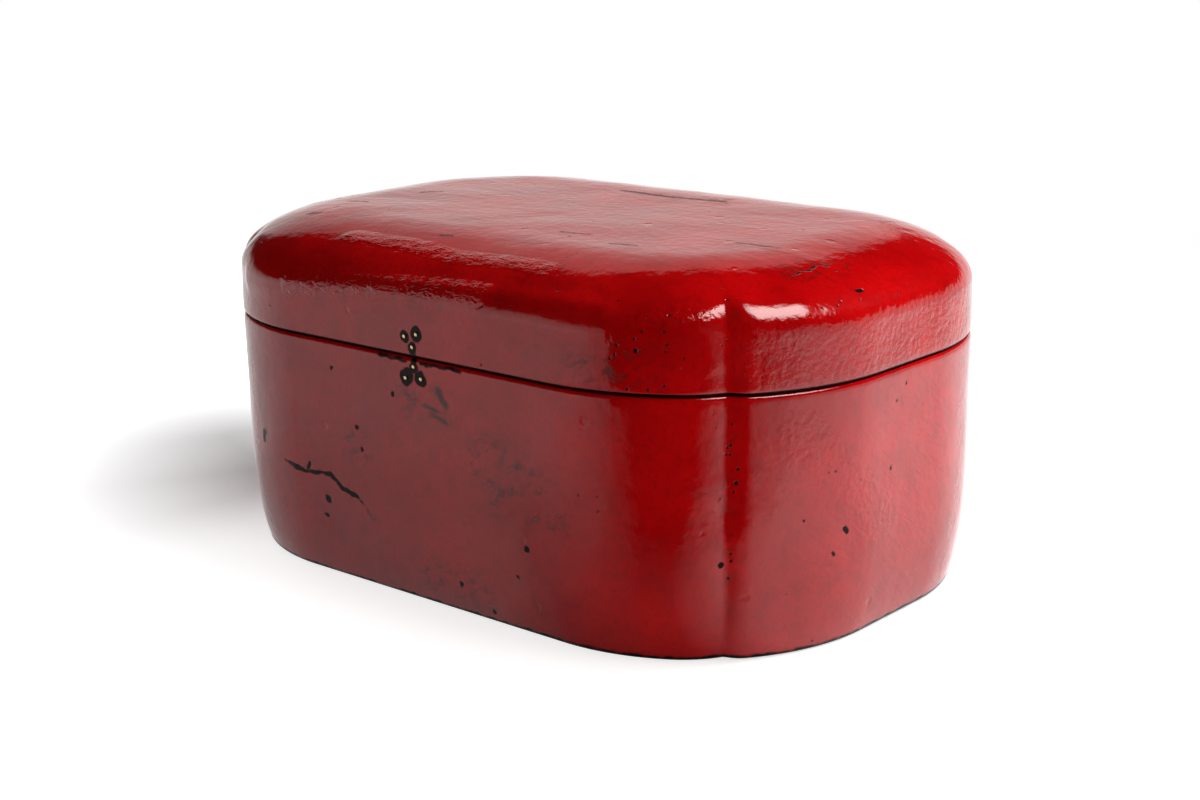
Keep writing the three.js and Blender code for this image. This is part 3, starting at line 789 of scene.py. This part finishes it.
clasp_nail = turned("clasp_nail", [
    (NAIL_POINT, -CLASP_NAIL_LENGTH),
    (CLASP_NAIL_RADIUS, -CLASP_NAIL_LENGTH + 2 * CLASP_NAIL_RADIUS),
    (CLASP_NAIL_RADIUS, 0.6 * CLASP_NAIL_PROUD),
    (0.85 * CLASP_NAIL_RADIUS, 0.9 * CLASP_NAIL_PROUD),
    (0.4 * CLASP_NAIL_RADIUS, CLASP_NAIL_PROUD),
])
clasp_nail.data.materials[0] = bare_brass
for node in [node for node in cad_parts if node.startswith("clasp_nail_")]:
    low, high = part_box(node)
    middle = (low + high) / 2
    nail = set_in_place(clasp_nail, node.replace("clasp_nail", "clasp_stub"),
                        (math.radians(90), middle.x / MM, 0), (middle.x, case_low.y, middle.z))
    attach(nail, "lid" if "_lid_" in node else "case")
    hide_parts(node)
bpy.data.objects.remove(clasp_nail)

# The hinges: brass sheet cut to three lobes, with its straps rolled round a pin along the seam.
# Three dome-headed nails hold each leaf, and the pin's ends are riveted over.
HINGE_WIDTH = 20 * MM
LID_KNUCKLE_WIDTH = 7.8 * MM
CASE_KNUCKLE_WIDTH = 5.8 * MM
KNUCKLE_RADIUS = 2.6 * MM
LEAF_THICKNESS = 1.2 * MM
LEAF_FACE = case_high.y + 1.5 * MM
HINGE_Y = 125.9 * MM
HINGE_Z = SEAM + 0.2 * MM
LOBE_RADIUS = 5.2 * MM
APEX_REACH = 8 * MM
STRAP_FROM = 3.2 * MM
LOBES = [("inner", 0, 8 * MM), ("left", -6.5 * MM, 15.5 * MM), ("right", 6.5 * MM, 15.5 * MM)]
BORE_RADIUS = 1.5 * MM
PIN_RADIUS = 1.2 * MM
PIN_HEAD_RADIUS = 1.9 * MM
PIN_HEAD_HEIGHT = 0.9 * MM
HINGE_NAIL_RADIUS = 0.8 * MM
HINGE_NAIL_LENGTH = 6 * MM
NAIL_HEAD_RADIUS = 1.9 * MM
NAIL_HEAD_HEIGHT = 0.8 * MM
FIT_GAP = 0.3 * MM
EDGE_ROUND = 0.25 * MM
ROD_STEPS = 40


def rod(axis_turn, radius, length, place):
    """A plain round bar."""
    bpy.ops.mesh.primitive_cylinder_add(vertices=ROD_STEPS, radius=radius, depth=length, location=place,
                                        rotation=axis_turn)
    apply_place()
    return bpy.context.object


def bar(width, height, place):
    """A plain piece of the leaf's sheet."""
    bpy.ops.mesh.primitive_cube_add(size=1, location=place, scale=(width, LEAF_THICKNESS, height))
    apply_place()
    return bpy.context.object


def dome(radius, foot, height, turns):
    """The profile of a rounded head from its rim to near its top, at some turns in degrees."""
    angles = [math.radians(turn) for turn in turns]
    return [(radius * math.cos(angle), foot + height * math.sin(angle)) for angle in angles]


OUT_OF_BACK = (math.radians(90), 0, 0)
ALONG_SEAM = (0, math.radians(90), 0)
leaf_middle = LEAF_FACE - LEAF_THICKNESS / 2
case_knuckle_x = (HINGE_WIDTH - CASE_KNUCKLE_WIDTH) / 2
knuckles = {
    "case": [(-case_knuckle_x, CASE_KNUCKLE_WIDTH), (case_knuckle_x, CASE_KNUCKLE_WIDTH)],
    "lid": [(0, LID_KNUCKLE_WIDTH)],
}
hinge_nail = turned("hinge_nail", [
    (NAIL_POINT, -HINGE_NAIL_LENGTH),
    (HINGE_NAIL_RADIUS, -HINGE_NAIL_LENGTH + 2 * HINGE_NAIL_RADIUS),
    (HINGE_NAIL_RADIUS, FIT_GAP),
    *dome(NAIL_HEAD_RADIUS, FIT_GAP, NAIL_HEAD_HEIGHT, (0, 15, 30, 45, 60, 75, 84)),
])
pin_end = HINGE_WIDTH / 2 + FIT_GAP
head = dome(PIN_HEAD_RADIUS, pin_end, PIN_HEAD_HEIGHT, (0, 20, 40, 60, 80))
hinge_pin = turned("hinge_pin", [*((radius, -height) for radius, height in reversed(head)),
                                 (PIN_RADIUS, -pin_end), (PIN_RADIUS, pin_end), *head])
for owner, upwards in (("case", -1), ("lid", 1)):
    leaf = bar(HINGE_WIDTH, APEX_REACH - STRAP_FROM,
               (0, leaf_middle, HINGE_Z + upwards * (APEX_REACH + STRAP_FROM) / 2))
    leaf.name = "hinge_leaf_" + owner
    leaf.data.materials.append(aged_brass)
    for x, width in knuckles[owner]:
        strap = bar(width, APEX_REACH, (x, leaf_middle, HINGE_Z + upwards * APEX_REACH / 2))
        cut_or_join(leaf, strap, "UNION")
        cut_or_join(leaf, rod(ALONG_SEAM, KNUCKLE_RADIUS, width, (x, HINGE_Y, HINGE_Z)), "UNION")
    spots = [(across, leaf_middle, HINGE_Z + upwards * reach) for _, across, reach in LOBES]
    for spot in spots:
        cut_or_join(leaf, rod(OUT_OF_BACK, LOBE_RADIUS, LEAF_THICKNESS, spot), "UNION")
    eased = leaf.modifiers.new("eased", "BEVEL")
    eased.width = EDGE_ROUND
    eased.segments = 2
    eased.limit_method = "ANGLE"
    eased.angle_limit = math.radians(40)
    bpy.ops.object.modifier_apply(modifier=eased.name)
    cut_or_join(leaf, rod(ALONG_SEAM, BORE_RADIUS, 2 * HINGE_WIDTH, (0, HINGE_Y, HINGE_Z)), "DIFFERENCE")
    for spot in spots:
        hole = rod(OUT_OF_BACK, HINGE_NAIL_RADIUS + FIT_GAP, 4 * LEAF_THICKNESS, spot)
        cut_or_join(leaf, hole, "DIFFERENCE")
    bpy.ops.object.shade_smooth_by_angle(angle=SMOOTH_BELOW)
    for side in ("left", "right"):
        low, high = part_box(f"hinge_{side}_pin")
        hinge_x = (low.x + high.x) / 2
        made = set_in_place(leaf, f"brass_leaf_{side}_{owner}", (0, 0, 0), (hinge_x, 0, 0))
        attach(made, owner)
        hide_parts(f"hinge_{side}_{owner}_leaf")
        for lobe, across, reach in LOBES:
            place = (hinge_x + across, LEAF_FACE, HINGE_Z + upwards * reach)
            nail = set_in_place(hinge_nail, f"brass_nail_{side}_{owner}_{lobe}",
                                (math.radians(-90), across / MM, 0), place)
            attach(nail, owner)
            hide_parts(f"hinge_{side}_{owner}_nail_{lobe}")
        if owner == "case":
            pin = set_in_place(hinge_pin, f"brass_pin_{side}", ALONG_SEAM, (hinge_x, HINGE_Y, HINGE_Z))
            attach(pin, "case")
            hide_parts(f"hinge_{side}_pin")
    bpy.data.objects.remove(leaf)
bpy.data.objects.remove(hinge_nail)
bpy.data.objects.remove(hinge_pin)

# The floor: matt white paper, which keeps the box's shadow and bounces light up its walls.
# Away from the box it clears to blank white. The camera and mirrors see it lifted towards white by a
# painted glow that changes with place: mirrors see it brighter to the right, and the camera sees it
# brighter in front, which paints the box's shadow out there, and dimmest next to the line where the shadow
# falls, which paints that shadow darker.
FLOOR_SIZE = 12
FLOOR_DROP = 0.2 * MM
BLANK_FROM, BLANK_TO = 350.0, 1100.0
PAINTED_SHADOW_LINE = [(-180, -30, 0), (-290, 10, 0)]
bpy.ops.mesh.primitive_plane_add(size=FLOOR_SIZE, location=(0, 0, -FLOOR_DROP))
floor = bpy.context.object
floor.name = "floor"


def looking(add, rays):
    """Whether a ray looks at a thing, from the camera or in a mirror or glass, and doesn't light it."""
    seen = rays["Is Camera Ray"]
    for kind in ("Is Glossy Ray", "Is Transmission Ray"):
        seen = add("Math", {0: seen, 1: rays[kind]}, operation="MAXIMUM")[0]
    return seen


white_paper, add, place = new_finish("white_paper")
fibre = add("TexNoise", {"Vector": place, "Scale": 1 / 3, "Detail": 2.0})["Fac"]
tint = add("Mix", {0: fibre, 6: colour("#d4d4d4"), 7: colour("#dadada")}, data_type="RGBA")[2]
lit = add("BsdfDiffuse", {"Color": tint})[0]
rays = add("LightPath", {})
seen = looking(add, rays)
away = add("VectorMath", {0: place}, operation="LENGTH")["Value"]
far = add("MapRange", {"Value": away, "From Min": BLANK_FROM, "From Max": BLANK_TO},
          interpolation_type="SMOOTHSTEP")[0]
to_right, to_back, _ = add("SeparateXYZ", {"Vector": place}).values()
# Painted light: the glow that mirrors see grows to the right, and the glow that the camera sees grows to
# the front
painted_mirror_glow = add("MapRange", {"Value": to_right, "From Min": 100.0, "From Max": 340.0, "To Min": 0.45})[0]
painted_floor_glow = add("MapRange", {"Value": to_back, "From Min": 20.0, "From Max": -160.0,
                              "To Min": 0.34, "To Max": 0.88})[0]
# Painted shadow: next to the shadow's line the camera's glow is least
from_shadow = line_distance(add, place, [PAINTED_SHADOW_LINE])
painted_shadow_glow = add("MapRange", {"Value": from_shadow, "From Min": 10.0, "From Max": 130.0,
                          "To Min": 0.14, "To Max": 0.92})[0]
to_left = add("MapRange", {"Value": to_right, "From Min": -120.0, "From Max": -200.0})[0]
painted_floor_glow = add("Mix", {0: to_left, 2: painted_floor_glow, 3: painted_shadow_glow})[0]
lift = add("Mix", {0: rays["Is Camera Ray"], 2: painted_mirror_glow, 3: painted_floor_glow})[0]
lift = add("Math", {0: seen, 1: lift}, operation="MULTIPLY")[0]
paper = add("AddShader", {0: lit, 1: add("Emission", {"Strength": lift})[0]})[0]
share = add("Math", {0: far, 1: seen}, operation="MULTIPLY")[0]
surface = add("MixShader", {0: share, 1: paper, 2: add("Emission", {"Strength": 1.0})[0]})[0]
add("OutputMaterial", {"Surface": surface})
floor.data.materials.append(white_paper)

# A dark flag between the box and the camera, out of the camera's sight: the corner that faces
# the camera mirrors it, as the photographed box mirrors a dark room on that side.
# It is a painted dark reflection: a black sheet on the floor, with a skirt towards the box, that thins out
# at its ends. Only mirrors see it, and it casts no shadow and stops no light.
FLAG_PLACE = (224 * MM, -335 * MM, 170 * MM)
FLAG_TURN = math.radians(41)
FLAG_WIDTH = 920 * MM
FLAG_HEIGHT = 338 * MM
FLAG_SKIRT = 290 * MM
ALONG_FLAG = Vector((math.cos(FLAG_TURN), math.sin(FLAG_TURN), 0))
FROM_BOX = Vector((math.sin(FLAG_TURN), -math.cos(FLAG_TURN), 0))
bpy.ops.mesh.primitive_plane_add(size=1, location=FLAG_PLACE, rotation=(math.radians(90), 0, FLAG_TURN))
flag = bpy.context.object
flag.name = "flag"
flag.scale = (FLAG_WIDTH, FLAG_HEIGHT, 1)
apply_place()
bpy.ops.object.mode_set(mode="EDIT")
bpy.ops.mesh.select_mode(type="EDGE")
choose(flag, "edges", lambda edge: max(vert.co.z for vert in edge.verts) < 10 * MM)
bpy.ops.mesh.extrude_region_move(TRANSFORM_OT_translate={"value": -FLAG_SKIRT * FROM_BOX})
bpy.ops.object.mode_set(mode="OBJECT")
dark_reflection_sheet, add, place = new_finish("dark_reflection_sheet")
weave = add("TexNoise", {"Vector": place, "Scale": 1.0})["Fac"]
tint = add("Mix", {0: weave, 6: colour("#050505"), 7: colour("#0c0c0c")}, data_type="RGBA")[2]
cloth = add("BsdfDiffuse", {"Color": tint})[0]
along, apart = (add("VectorMath", {0: place, 1: way}, operation="DOT_PRODUCT")["Value"]
                for way in (ALONG_FLAG, FROM_BOX))
height = add("SeparateXYZ", {"Vector": place})["Z"]
out = add("MapRange", {"Value": apart, "From Min": 166.0, "From Max": 400.0})[0]

# The right end leans away as it goes out, is drawn in near the floor, and fades more the farther out
right_edge = add("Math", {0: out, 1: out}, operation="MULTIPLY")[0]
right_edge = add("Math", {0: right_edge, 1: 220.0, 2: 82.0}, operation="MULTIPLY_ADD")[0]
low = add("MapRange", {"Value": height, "From Min": 48.0, "From Max": 40.0})[0]
drawn_in = add("MapRange", {"Value": out, "To Min": 25.0, "To Max": 75.0})[0]
drawn_in = add("Math", {0: low, 1: drawn_in}, operation="MULTIPLY")[0]
right_edge = add("Math", {0: right_edge, 1: drawn_in}, operation="SUBTRACT")[0]
right_fade = add("Math", {0: out, 1: 120.0, 2: 24.0}, operation="MULTIPLY_ADD")[0]
past_right = add("Math", {0: along, 1: right_edge}, operation="SUBTRACT")[0]
past_right = add("Math", {0: past_right, 1: right_fade}, operation="DIVIDE")[0]
thin_right = add("MapRange", {"Value": past_right, "From Min": -1.0})[0]

# The left end fades most near the floor, and the skirt gives out there next to the box
left_edge = add("Math", {0: out, 1: -215.0, 2: -34.0}, operation="MULTIPLY_ADD")[0]
left_fade = add("MapRange", {"Value": height, "From Min": 12.0, "From Max": 40.0,
                             "To Min": 70.0, "To Max": 5.0})[0]
past_left = add("Math", {0: left_edge, 1: along}, operation="SUBTRACT")[0]
thinner = add("MapRange", {"Value": past_left, "From Max": 250.0, "To Min": 0.5})[0]
past_left = add("Math", {0: past_left, 1: left_fade}, operation="DIVIDE")[0]
thin = add("MapRange", {"Value": past_left, "From Min": -1.5, "From Max": 0.5})[0]
thin = add("Math", {0: thin, 1: thinner}, operation="MULTIPLY")[0]
by_box = add("MapRange", {"Value": apart, "From Min": 175.0, "From Max": 115.0})[0]
by_box = add("Math", {0: by_box, 1: thin}, operation="MULTIPLY")[0]
by_box = add("MapRange", {"Value": by_box, "From Max": 0.45})[0]
near = add("MapRange", {"Value": out, "From Min": 0.7, "From Max": 0.1, "To Max": 0.15})[0]
for part in (by_box, thin_right, near):
    thin = add("Math", {0: thin, 1: part}, operation="MAXIMUM")[0]
surface = add("MixShader", {0: thin, 1: cloth, 2: add("BsdfTransparent", {})[0]})[0]
add("OutputMaterial", {"Surface": surface})
flag.data.materials.append(dark_reflection_sheet)
flag.visible_camera = False
flag.visible_diffuse = False
flag.visible_shadow = False

# Light: the camera and mirrors see white paper all round up to a low height, a pale panel behind on the
# left and a dark room above, and mirrors alone see a painted highlight, the soft glow of the key light,
# which the shoulder mirrors. All of these are painted reflections that light nothing: mirrors see them a
# little warm, and other rays see a dim, even world. Five soft boxes light the box and its shadow, and no
# mirror shows them.
PAPER_FULL = math.sin(math.radians(5))
PAPER_TOP = math.sin(math.radians(12))
DIMMED_TO = math.sin(math.radians(24))
PANEL_WAY = (-0.680, 0.657, 0.326)
PANEL_EDGE = 0.938
PANEL_CORE = 0.954
KEY_WAY = (0.5, 0.16, 0.85)
KEY_EDGE = math.cos(math.radians(26))
KEY_CORE = math.cos(math.radians(2))
KEY_STRENGTH = 12.5
WARM = (1, 0.96, 0.93, 1)
WHITE = (1, 1, 1, 1)
LAMPS = [
    ("high_box", (0.41, 0.03, 0.68), (0.1, -0.05, 0.12), 0.25, 0.2, 1.2),
    ("back_box", (0.61, 0.81, 0.89), (0.0, 0.0, 0.08), 0.6, 0.6, 18),
    ("front_box", (-0.5, -1.2, 0.3), (0.0, 0.0, 0.05), 0.8, 0.5, 1.3),
    ("left_box", (-1.3, 0.3, 0.4), (0.0, 0.0, 0.08), 0.8, 0.5, 5),
    ("near_box", (1.12, -0.42, 0.28), (0.1, -0.05, 0.05), 0.6, 0.4, 2.9),
]
world = bpy.data.worlds.new("studio")
bpy.context.scene.world = world
world.use_nodes = True
world.node_tree.nodes.clear()
add = partial(add_to, world.node_tree)
way = add("TexCoord", {})["Generated"]
to_right, _, lift = add("SeparateXYZ", {"Vector": way}).values()
around = add("MapRange", {"Value": lift, "From Min": PAPER_TOP, "From Max": PAPER_FULL, "To Min": 0.02},
             interpolation_type="SMOOTHSTEP")[0]
to_panel, to_key = (add("VectorMath", {0: way, 1: aim}, operation="DOT_PRODUCT")["Value"]
                    for aim in (PANEL_WAY, KEY_WAY))
panel = add("MapRange", {"Value": to_panel, "From Min": PANEL_EDGE, "From Max": PANEL_CORE})[0]
paper = add("Math", {0: around, 1: panel}, operation="MAXIMUM")[0]
on_left = add("MapRange", {"Value": to_right, "From Min": 0.2, "From Max": -0.2})[0]
higher = add("MapRange", {"Value": lift, "From Max": DIMMED_TO, "To Min": 0.12, "To Max": 0.66})[0]
dimmer = add("Math", {0: on_left, 1: higher}, operation="MULTIPLY")[0]
dimmer = add("Math", {0: 1.0, 1: dimmer}, operation="SUBTRACT")[0]
paper = add("Math", {0: paper, 1: dimmer}, operation="MULTIPLY")[0]
rays = add("LightPath", {})
# A glow that only mirrors see and that lights nothing: a painted highlight of the key light on the shoulder
painted_key_highlight = add("MapRange", {"Value": to_key, "From Min": KEY_EDGE, "From Max": KEY_CORE, "To Max": KEY_STRENGTH},
          interpolation_type="SMOOTHERSTEP")[0]
painted_key_highlight = add("Math", {0: painted_key_highlight, 1: rays["Is Glossy Ray"]}, operation="MULTIPLY")[0]
paper = add("Math", {0: paper, 1: painted_key_highlight}, operation="ADD")[0]
shown = add("Mix", {0: rays["Is Camera Ray"], 6: WARM, 7: WHITE}, data_type="RGBA")[2]
white = add("Background", {"Color": shown, "Strength": paper})[0]
dim = add("Background", {"Color": WHITE, "Strength": 0.06})[0]
both = add("MixShader", {0: looking(add, rays), 1: dim, 2: white})[0]
add("OutputWorld", {"Surface": both})
for name, place, aim, width, height, power in LAMPS:
    lamp = bpy.data.lights.new(name, "AREA")
    lamp.shape = "RECTANGLE"
    lamp.size = width
    lamp.size_y = height
    lamp.energy = power
    box = bpy.data.objects.new(name, lamp)
    bpy.context.scene.collection.objects.link(box)
    box.location = place
    box.rotation_euler = (Vector(aim) - Vector(place)).to_track_quat("-Z", "Y").to_euler()
    box.visible_glossy = False

# The camera stands where the photograph was taken from, about a metre from the box and a little
# above it. Its place, aim, roll and lens come from fitting the box's edges.
camera_data = bpy.data.cameras.new("camera")
camera_data.sensor_width = 36
camera_data.lens = 58.85
camera = bpy.data.objects.new("camera", camera_data)
bpy.context.scene.collection.objects.link(camera)
camera.location = (0.61626, -0.70519, 0.32163)
look = Vector((-0.63396, 0.72900, -0.25818))
roll = Quaternion((0, 0, 1), math.radians(-0.89))
camera.rotation_mode = "QUATERNION"
camera.rotation_quaternion = look.to_track_quat("-Z", "Y") @ roll
bpy.context.scene.camera = camera
bpy.context.scene.view_settings.view_transform = "Standard"
